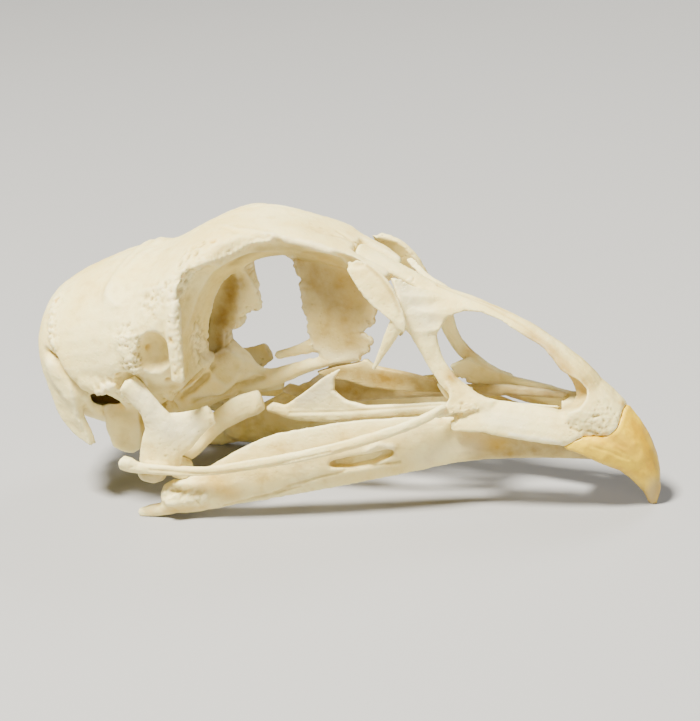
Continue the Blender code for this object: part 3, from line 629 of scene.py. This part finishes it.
class SKULL_OT_cranium(bpy.types.Operator):
    """Braincase, roof, wall between the orbits and keel"""
    bl_idname = "skull.cranium"
    bl_label = "Cranium"

    def execute(self, context):
        look = context.scene.skull_look
        item = bone_copy("cranium", "cranium_bone")
        even_skin(item, look.skin * CRANIUM_GRID, 16)
        clay = Clay(item)
        clay.meet(("upper_beak", "lacrimal_right", "lacrimal_left", "quadrate_right", "quadrate_left"),
                  leave=look.seam)
        self.vault(clay)
        self.orbit(clay)
        self.septum(clay)
        clay.ripple(clay.all_over(), 0.08, 3.2, seed=4.0)
        clay.ripple(clay.all_over(), 0.03, 0.7, seed=9.0)
        clay.hollows()
        self.brain_hollow(clay)
        clay.close("bone")
        thin_to(item, look.triangles)
        item.data.materials.append(bone_material(look, "cranium_bone_finish"))
        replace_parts(item, "cranium")
        return {"FINISHED"}

    def vault(self, clay):
        """Ridges, nape and pores of the braincase's outside."""
        clay.push([(202, 223), (235, 229), (270, 234), (300, 242), (330, 252), (348, 260)], 0.35, 0.13)
        clay.push([(200, 227), (235, 233), (270, 239), (298, 247)], 0.35, -0.10)
        clay.push([(150, 250), (134, 262), (120, 275), (110, 290), (108, 303)], 0.7, 0.22)
        nape = [(58, 297), (53, 315), (52, 332), (54, 345)]
        clay.push(nape, 0.6, 0.25)
        clay.ripple(clay.near(nape, 0.9), 0.35, 0.6, seed=1.0)
        clay.push([(46, 352), (52, 357)], 0.5, -0.9)
        fold = [(54, 360), (62, 374), (72, 385), (88, 397)]
        clay.push(fold, 0.6, -0.6)
        # The fold's stain is partly a painted shadow line under the braincase's edge
        clay.tint("stain_and_shade", fold, 0.6, 0.5)
        clay.push([(50, 366), (56, 382), (66, 395)], 0.9, 0.35)
        rough = clay.near([(192, 250), (190, 268), (175, 285), (160, 295), (150, 305)], 1.6)
        clay.ripple(rough, 0.30, 0.9, seed=3.0)
        clay.pit(rough, 60, 0.28, 0.22, seed=5)
        clay.push([(188, 272), (181, 279)], 0.5, -0.45)
        clay.push([(148, 243), (128, 260), (113, 280), (107, 295), (116, 305)], 0.5, 0.22)
        clay.push([(152, 262), (136, 282), (130, 305), (112, 330)], 1.5, -0.25)
        clay.push([(140, 292), (158, 288), (172, 296)], 0.5, 0.25)
        cheek = clay.near([(126, 335), (130, 355), (131, 372)], 1.5)
        clay.ripple(cheek, 0.22, 0.4, seed=6.0)
        clay.pit(cheek, 110, 0.17, 0.2, seed=7)
        prong = clay.near([(177, 322), (179, 350), (180, 376)], 1.0)
        clay.ripple(prong, 0.12, 0.5, seed=8.0)
        clay.pit(prong, 40, 0.15, 0.14, seed=9)
        for spot in ((213, 241), (170, 341), (148, 347), (57, 301), (118, 374), (168, 380)):
            clay.push([spot], 0.35, -0.35)
            clay.tint("amber", [spot], 0.35, 0.9)
        # Stain across the fossa is painted shade
        clay.tint("stain_and_shade", [(152, 345), (152, 362)], 1.8, 0.35)
        clay.tint("stain_and_shade", [(142, 376), (155, 388), (172, 386)], 0.8, 0.5)
        clay.tint("amber", [(100, 398), (112, 400), (122, 404)], 0.8, 0.7)
        clay.push([(124, 425), (122, 440)], 1.4, -0.5)
        # Stain on the top of the ear's plate is painted shade
        clay.tint("stain_and_shade", [(112, 408), (125, 415)], 1.4, 0.6)
        suture = [(337, 231), (352, 241), (370, 252), (388, 264)]
        clay.push(suture, 0.2, -0.14)
        clay.tint("stain_and_shade", suture, 0.22, 0.6)
        ledge = [(98, 392), (110, 385), (122, 390), (130, 400)]
        clay.push(ledge, 0.5, 0.35)
        clay.ripple(clay.near(ledge, 1.0), 0.35, 0.6, seed=2.0)

    def orbit(self, clay):
        """Frilled rim, rough rear wall and the crease of the orbit."""
        rim = [(172, 318), (175, 305), (183, 290), (195, 270), (205, 262), (230, 254), (250, 243), (272, 240)]
        clay.push(rim, 0.5, 0.15)
        clay.ripple(clay.near(rim, 0.9), 0.15, 0.5, seed=5.0)
        clay.fringe(rim, 0.42, 0.16, 0.38, seed=11)
        clay.fringe(rim, 0.40, 0.14, 0.30, seed=12)
        clay.tint("pale", rim, 0.6, 0.3)
        clay.push([(285, 242), (310, 244), (332, 252), (348, 262)], 0.4, 0.2)
        wall = clay.near([(195, 330), (200, 345), (203, 358)], 1.4)
        clay.ripple(wall, 0.7, 1.2, seed=7.0)
        clay.tint("pale", [(195, 335), (200, 350), (207, 358)], 1.2, 0.5)
        strip = [(235, 282), (227, 300), (221, 325), (218, 350)]
        clay.tint("stain_and_shade", strip, 1.8, 1.0)
        clay.tint("dark", strip, 1.2, 0.2)
        # Stain under the roof's edge is painted shade where the roof overhangs the orbits
        clay.tint("stain_and_shade", [(235, 262), (262, 250), (300, 250), (335, 262), (355, 285)], 1.2, 0.6)
        crease = [(262, 376), (247, 383), (230, 391), (212, 399), (196, 402)]
        clay.push(crease, 0.45, -0.55)
        clay.tint("stain_and_shade", crease, 0.5, 0.8)
        lip = [(212, 356), (206, 368), (196, 380), (182, 390), (168, 396)]
        clay.push(lip, 0.4, 0.4)
        clay.push([(214, 366), (206, 378), (194, 389), (182, 398)], 0.4, -0.5)
        clay.ripple(clay.near([(170, 396), (165, 402)], 1.2), 0.3, 0.6, seed=9.0)

    def septum(self, clay):
        """Ragged edges, stains with painted shade from the roof, and spike of the wall between the orbits."""
        rear = [(292, 256), (290, 266), (297, 281), (303, 293), (303, 312), (306, 335), (316, 352)]
        front = [(376, 305), (379, 317), (362, 332), (371, 336), (373, 345), (363, 354)]
        stump = [(249, 266), (258, 278), (263, 300), (257, 310), (244, 313), (241, 326), (233, 332),
                 (233, 342)]
        for edge, seed in ((rear, 1.0), (front, 2.0), (stump, 3.0)):
            clay.fray(clay.near(edge, 0.8), 0.45, 0.9, seed)
        clay.pull([(364, 353)], 0.3, (0.9, 0.0, 0.1))
        # Stain, amber and dark paint over the septum: partly its ochre stain, partly painted shade cast by
        # the roof
        clay.tint("stain_and_shade", [(305, 265), (330, 290), (345, 320)], 4.2, 0.85)
        clay.tint("stain_and_shade", [(318, 300), (330, 330), (355, 340)], 3.6, 0.7)
        clay.tint("amber", [(330, 262), (348, 280), (355, 300)], 1.6, 0.35)
        clay.tint("dark", [(312, 275), (330, 300), (350, 315)], 3.6, 0.25)
        clay.tint("pale", rear, 0.25, 0.6)
        clay.tint("pale", [(320, 352), (335, 357), (355, 356)], 0.7, 0.5)
        length, breadth, level = clay.place.T
        sheet = (np.abs(breadth) < SEPTUM_HALF) & (length > SEPTUM_REAR) & (level > SEPTUM_BOTTOM)
        clay.pit(sheet.astype(float), 40, 0.12, 0.1, seed=13)

    def brain_hollow(self, clay):
        """The ochre inside of the braincase."""
        offset = clay.place - BRAIN_CENTRE
        offset[:, 0] -= offset[:, 2] * BRAIN_LEAN
        inside = np.sqrt(((offset / BRAIN_RADII) ** 2).sum(axis=1))
        clay.paints["stain_and_shade"] = np.maximum(clay.paints["stain_and_shade"], np.clip((1.12 - inside) / 0.1, 0, 1))
        clay.paints["pale"] *= np.clip((inside - 1.02) / 0.1, 0, 1)


class SKULL_OT_upper_beak(bpy.types.Operator):
    """Culmen, nasal plates and bars, and the bars of the upper jaw"""
    bl_idname = "skull.upper_beak"
    bl_label = "Upper beak"

    def execute(self, context):
        look = context.scene.skull_look
        item = bone_copy("upper_beak", "upper_beak_bone")
        even_skin(item, look.skin, 10)
        clay = Clay(item)
        clay.meet(("cranium", "beak_horn", "lacrimal_right", "lacrimal_left", "jugal_bar_right",
                   "jugal_bar_left"), leave=look.seam)
        clay.ripple(clay.all_over(), 0.06, 1.8, seed=2.0)
        self.tip(clay)
        self.bars(clay)
        clay.hollows(amount=0.5)
        clay.close("bone")
        thin_to(item, look.triangles)
        item.data.materials.append(bone_material(look, "upper_beak_finish"))
        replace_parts(item, "upper_beak")
        return {"FINISHED"}

    def tip(self, clay):
        """Pitted bone beside the horn, and the underside of the ridge, darkened by stain and painted shade.
        """
        rough = clay.near([(575, 425), (590, 418), (605, 412), (612, 425), (595, 430)], 1.3)
        clay.ripple(rough, 0.08, 0.4, seed=3.0)
        clay.pit(rough, 45, 0.14, 0.12, seed=21)
        clay.tint("amber", [(622, 404), (621, 420), (612, 434), (585, 436), (568, 444)], 0.45, 0.7)
        for crack in ([(571, 428), (580, 432)], [(588, 431), (597, 434)], [(594, 417), (599, 416)]):
            clay.push(crack, 0.16, -0.3)
            clay.tint("dark", crack, 0.16, 0.7)
        # The ridge's underside and the naris's inner face: ochre stain and amber together with painted shade
        # where they face down
        under = [(500, 321), (530, 337), (552, 355), (567, 373), (575, 387)]
        clay.tint("stain_and_shade", under, 1.0, 0.85)
        clay.tint("stain_and_shade", [(28.0, -1.9, 13.2), (29.6, -1.9, 14.2), (30.0, -2.0, 15.6)], 1.5, 0.75)
        clay.tint("amber", under, 0.9, 0.35)
        clay.push([(438, 285), (470, 298), (500, 312), (530, 330), (552, 346)], 0.18, -0.10)
        clay.tint("stain_and_shade", [(438, 285), (470, 298), (500, 312), (530, 330)], 0.25, 0.35)
        clay.tint("pale", [(510, 434), (530, 438), (548, 440), (560, 443)], 0.3, 1.0)

    def bars(self, clay):
        """Ragged ends of the jaw bar and web, and the thin nasal plate."""
        clay.fray(clay.near([(452, 417), (453, 424), (460, 432), (470, 434)], 0.7), 0.5, 0.7, 4.0)
        clay.fray(clay.near([(453, 411), (465, 409), (478, 408)], 0.5), 0.4, 0.5, 5.0)
        clay.fray(clay.near([(400, 281), (412, 280)], 0.5), 0.3, 0.5, 6.0)
        clay.push([(462, 404)], 0.25, -0.25)
        clay.tint("dark", [(462, 404)], 0.22, 0.5)
        clay.tint("pale", [(402, 290), (415, 305), (425, 320)], 2.2, 0.6)
        clay.tint("pale", [(520, 425), (490, 420)], 1.0, 0.5)
        clay.push([(470, 384), (500, 398), (540, 405)], 0.25, 0.12)


class SKULL_OT_horn(bpy.types.Operator):
    """Hooked horn of the beak's tip"""
    bl_idname = "skull.horn"
    bl_label = "Horn"

    def execute(self, context):
        look = context.scene.skull_look
        item = bone_copy("beak_horn", "horn_cover")
        even_skin(item, look.skin, 10)
        clay = Clay(item)
        clay.meet(("upper_beak",), leave=-HORN_LAP)
        clay.tint("pale", [(572, 452), (600, 466), (625, 478), (640, 490)], 0.7, 0.6)
        clay.tint("pale", [(655, 484), (651, 494), (653, 504)], 1.1, 0.9)
        clay.tint("amber", [(644, 438), (648, 450), (652, 462)], 0.9, 0.9)
        clay.tint("amber", [(615, 440), (625, 446)], 0.9, 0.35)
        for fold in ([(590, 446), (610, 452), (628, 460)], [(604, 440), (622, 452), (640, 470)]):
            clay.push(fold, 0.2, -0.08)
        clay.ripple(clay.all_over(), 0.05, 1.2, seed=3.0)
        clay.close("horn")
        thin_to(item, look.triangles)
        item.data.materials.append(horn_material(look))
        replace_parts(item, "beak_horn")
        return {"FINISHED"}


def paired_bone(look, kind, neighbours):
    """One side's bone, worked on the right side; the left one is mirrored from it later."""
    item = bone_copy(kind + "_right", kind + "_bone_right")
    even_skin(item, look.skin, 8)
    clay = Clay(item, both=False)
    clay.meet(neighbours, leave=look.seam)
    clay.ripple(clay.all_over(), 0.05, 1.4, seed=len(kind))
    return clay


def finish_pair(look, clay, kind, far_shade_and_stain=0.0):
    """Hand over the right side's bone and make the left one from it."""
    item = clay.close("bone")
    thin_to(item, look.triangles)
    item.data.materials.append(bone_material(look, kind + "_finish"))
    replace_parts(item, kind + "_right")
    left_copy(item, kind + "_bone_left", kind + "_left", far_shade_and_stain)


class SKULL_OT_lacrimals(bpy.types.Operator):
    """Plates and spikes in front of the orbits"""
    bl_idname = "skull.lacrimals"
    bl_label = "Lacrimals"

    def execute(self, context):
        look = context.scene.skull_look
        clay = paired_bone(look, "lacrimal", ("cranium", "upper_beak"))
        seam = [(368, 266), (382, 280), (393, 295), (400, 312)]
        clay.push(seam, 0.2, -0.12)
        clay.tint("stain_and_shade", seam, 0.25, 0.6)
        clay.fray(clay.near([(352, 262), (348, 275), (365, 297)], 0.5), 0.25, 0.6, 7.0)
        clay.pull([(352, 261)], 0.3, (-0.35, 0.0, 0.45))
        clay.pit(clay.all_over(), 30, 0.12, 0.08, seed=31)
        clay.hollows(amount=0.4)
        finish_pair(look, clay, "lacrimal")
        return {"FINISHED"}


class SKULL_OT_quadrates(bpy.types.Operator):
    """Bones that hang the lower jaw from the skull"""
    bl_idname = "skull.quadrates"
    bl_label = "Quadrates"

    def execute(self, context):
        look = context.scene.skull_look
        clay = paired_bone(look, "quadrate", ("cranium", "jugal_bar_right", "pterygoid_right", "mandible"))
        clay.fray(clay.near([(213, 406), (216, 415), (212, 425)], 0.5), 0.35, 0.5, 8.0)
        clay.push([(216, 424), (203, 438), (192, 450)], 0.3, -0.25)
        clay.tint("stain_and_shade", [(138, 474), (150, 480), (165, 480)], 0.9, 0.8)
        # Pale paint on the quadrate's outer face is a painted highlight where it faces the lamps
        clay.tint("pale", [(150, 400), (165, 425), (190, 430)], 2.4, 0.8)
        clay.push([(158, 412), (172, 408)], 0.8, -0.15)
        clay.pit(clay.all_over(), 40, 0.13, 0.1, seed=41)
        clay.hollows(amount=0.5)
        # The left quadrate gets extra stain, partly painted shade of the far side
        finish_pair(look, clay, "quadrate", far_shade_and_stain=0.55)
        return {"FINISHED"}


class SKULL_OT_jugal_bars(bpy.types.Operator):
    """Slender cheek bars"""
    bl_idname = "skull.jugal_bars"
    bl_label = "Jugal bars"

    def execute(self, context):
        look = context.scene.skull_look
        clay = paired_bone(look, "jugal_bar", ("quadrate_right", "upper_beak", "mandible"))
        clay.push([(150, 470), (200, 474), (260, 468), (330, 452)], 0.16, -0.12)
        clay.push([(122, 463), (128, 462)], 0.6, 0.2)
        clay.pull([(14.2, -6.9, 13.3)], 0.9, (0.55, 0.12, 0.4))
        clay.hollows(amount=0.4)
        finish_pair(look, clay, "jugal_bar")
        return {"FINISHED"}


class SKULL_OT_palate(bpy.types.Operator):
    """Palatines, pterygoids and vomer"""
    bl_idname = "skull.palate"
    bl_label = "Palate"

    def execute(self, context):
        look = context.scene.skull_look
        clay = paired_bone(look, "palatine", ("cranium", "pterygoid_right"))
        leaf = [(300, 398), (318, 392), (328, 380)]
        # The leaf's pale paint is a painted highlight and its dark paint painted shade
        clay.tint("pale", leaf, 1.3, 0.8)
        clay.tint("dark", leaf, 1.0, 0.35)
        clay.pull([(-8.6, -3.2, 11.4)], 0.9, (-0.7, 0.0, -0.2))
        clay.fray(clay.near([(338, 366), (330, 375), (332, 392)], 0.4), 0.25, 0.6, 9.0)
        clay.push([(290, 413), (340, 412), (400, 408), (440, 405)], 0.18, -0.12)
        clay.hollows(amount=0.4)
        # The left palatine gets extra stain, partly painted shade of the far side, partly ochre
        finish_pair(look, clay, "palatine", far_shade_and_stain=0.85)
        clay = paired_bone(look, "pterygoid", ("cranium", "quadrate_right", "palatine_right"))
        clay.push([(258, 396), (256, 412)], 0.6, 0.15)
        clay.hollows(amount=0.4)
        finish_pair(look, clay, "pterygoid")
        item = bone_copy("vomer", "vomer_bone")
        even_skin(item, look.skin, 6)
        clay = Clay(item)
        clay.meet(("cranium",), leave=look.seam)
        clay.tint("stain_and_shade", [(330, 370), (380, 378), (450, 385)], 2.0, 1.0)
        clay.close("bone")
        item.data.materials.append(bone_material(look, "vomer_finish", 0.3))
        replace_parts(item, "vomer")
        return {"FINISHED"}


class SKULL_OT_mandible(bpy.types.Operator):
    """Lower jaw"""
    bl_idname = "skull.mandible"
    bl_label = "Mandible"

    def execute(self, context):
        look = context.scene.skull_look
        item = bone_copy("mandible", "mandible_bone")
        even_skin(item, look.skin * MANDIBLE_GRID, 12)
        clay = Clay(item)
        clay.meet(("quadrate_right", "quadrate_left"), leave=look.seam)
        clay.ripple(clay.all_over(), 0.06, 1.6, seed=6.0)
        slot = [(336, 463), (350, 462), (370, 457), (390, 452)]
        clay.push(slot, 0.5, -0.35)
        clay.tint("stain_and_shade", slot, 0.6, 0.15)
        shard = [(368, 450), (378, 444), (392, 447)]
        clay.push(shard, 0.4, 0.25)
        clay.tint("pale", shard, 0.4, 0.8)
        for line in ([(275, 493), (292, 485), (320, 477), (345, 471)], [(225, 506), (255, 498), (300, 487)],
                     [(345, 470), (400, 462)]):
            clay.push(line, 0.22, -0.22)
            clay.tint("stain_and_shade", line, 0.25, 0.3)
        clay.tint("amber", [(212, 480), (222, 488), (232, 494)], 1.3, 0.55)
        clay.tint("stain_and_shade", [(215, 480), (250, 478), (300, 470)], 1.2, 0.3)
        clay.tint("amber", [(152, 513), (175, 511), (205, 508)], 0.7, 0.4)
        clay.tint("pale", [(425, 462), (450, 450), (472, 446)], 1.6, 0.4)
        # The front of the jaw and its inner faces: ochre stain together with painted shade
        clay.tint("stain_and_shade", [(480, 450), (530, 450), (560, 452)], 2.2, 1.0)
        clay.tint("stain_and_shade", [(20.0, -3.9, 8.5), (27.0, -2.6, 7.6), (32.0, -1.0, 6.6)], 2.4, 1.0)
        clay.tint("amber", [(470, 440), (500, 444)], 1.2, 0.5)
        # Inner face of the far half: stain together with painted shade
        clay.tint("stain_and_shade", [(-18.0, 8.0, 6.0), (-8.0, 7.5, 7.0), (0.0, 6.5, 8.0)], 3.0, 0.5)
        clay.tint("stain_and_shade", [(400, 445), (425, 432)], 1.2, 0.4)
        joint = clay.near([(165, 490), (175, 492), (200, 500)], 1.2)
        clay.ripple(joint, 0.3, 0.8, seed=4.0)
        clay.push([(168, 503), (185, 502), (205, 495)], 0.4, 0.25)
        clay.push([(172, 490), (185, 488)], 0.5, -0.35)
        clay.hollows(amount=0.5)
        clay.place[:, 2] = np.maximum(clay.place[:, 2], 0.0)
        clay.refresh()
        clay.close("bone")
        thin_to(item, look.triangles)
        item.data.materials.append(bone_material(look, "mandible_finish", 0.15, 0.5))
        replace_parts(item, "mandible")
        return {"FINISHED"}


class SKULL_OT_stage(bpy.types.Operator):
    """Floor, studio lights and the photograph's camera"""
    bl_idname = "skull.stage"
    bl_label = "Stage"

    def execute(self, context):
        look = context.scene.skull_look
        self.add_floor(look)
        for light in LIGHTS:
            self.add_light(*light)
        world = bpy.data.worlds.new("studio")
        world.use_nodes = True
        sky = world.node_tree.nodes["Background"]
        sky.inputs["Color"].default_value = SKY_COLOUR
        sky.inputs["Strength"].default_value = SKY_STRENGTH
        context.scene.world = world
        self.add_camera(context)
        return {"FINISHED"}

    def add_floor(self, look):
        """A plain pale floor."""
        bpy.ops.object.select_all(action="DESELECT")
        bpy.ops.mesh.primitive_grid_add(x_subdivisions=24, y_subdivisions=24, size=FLOOR_WIDTH)
        floor = bpy.context.active_object
        floor.name = "studio_floor"
        made = Surface("studio_floor", {"Base Color": (*look.floor, 1.0)})
        made.give("Roughness", 0.62 + made.clouds(40.0) * 0.1)
        floor.data.materials.append(made.material)

    def add_light(self, name, place, size, power, colour):
        """A round soft lamp that points at the skull."""
        bpy.ops.object.light_add(type="AREA", location=place)
        lamp = bpy.context.active_object
        lamp.name = name
        lamp.data.shape = "DISK"
        lamp.data.size = size
        lamp.data.energy = power
        lamp.data.color = colour
        aim = Vector(PHOTO_TARGET) * MM - Vector(place)
        lamp.rotation_euler = aim.to_track_quat("-Z", "Y").to_euler()

    def add_camera(self, context):
        """The camera that took the photograph."""
        right, up, back = photo_axes()
        target = Vector(PHOTO_TARGET) - Vector((MIDDLE_X, 0, 0))
        eye = (target + back * PHOTO_DISTANCE) * MM
        bpy.ops.object.camera_add()
        camera = context.active_object
        turn = Matrix((right, up, back)).transposed().to_4x4()
        camera.matrix_world = Matrix.Translation(eye) @ turn
        camera.data.sensor_width = SENSOR
        camera.data.lens = SENSOR * PIXELS_PER_MM * PHOTO_DISTANCE / max(PHOTO_SIZE)
        camera.data.clip_start = 0.001
        camera.data.clip_end = 20.0
        context.scene.camera = camera


class SKULL_PT_panel(bpy.types.Panel):
    """Lists the pieces in the sidebar"""
    bl_idname = "SKULL_PT_panel"
    bl_label = "Chicken Skull"
    bl_space_type = "VIEW_3D"
    bl_region_type = "UI"
    bl_category = "Skull"

    def draw(self, context):
        look = context.scene.skull_look
        for key in look.__annotations__:
            self.layout.prop(look, key)
        for step in STEPS:
            self.layout.operator(step.bl_idname)


STEPS = (SKULL_OT_cranium, SKULL_OT_upper_beak, SKULL_OT_horn, SKULL_OT_lacrimals, SKULL_OT_quadrates,
         SKULL_OT_jugal_bars, SKULL_OT_palate, SKULL_OT_mandible, SKULL_OT_stage)
CLASSES = (SkullLook, *STEPS, SKULL_PT_panel)


def register():
    """Make Blender know the classes and settings."""
    for item in CLASSES:
        bpy.utils.register_class(item)
    bpy.types.Scene.skull_look = PointerProperty(type=SkullLook)


def unregister():
    """Take them out again."""
    del bpy.types.Scene.skull_look
    for item in reversed(CLASSES):
        bpy.utils.unregister_class(item)


def main():
    """Build every piece and the stage."""
    register()
    for step in STEPS:
        group, name = step.bl_idname.split(".")
        getattr(getattr(bpy.ops, group), name)()


if __name__ == "__main__":
    main()
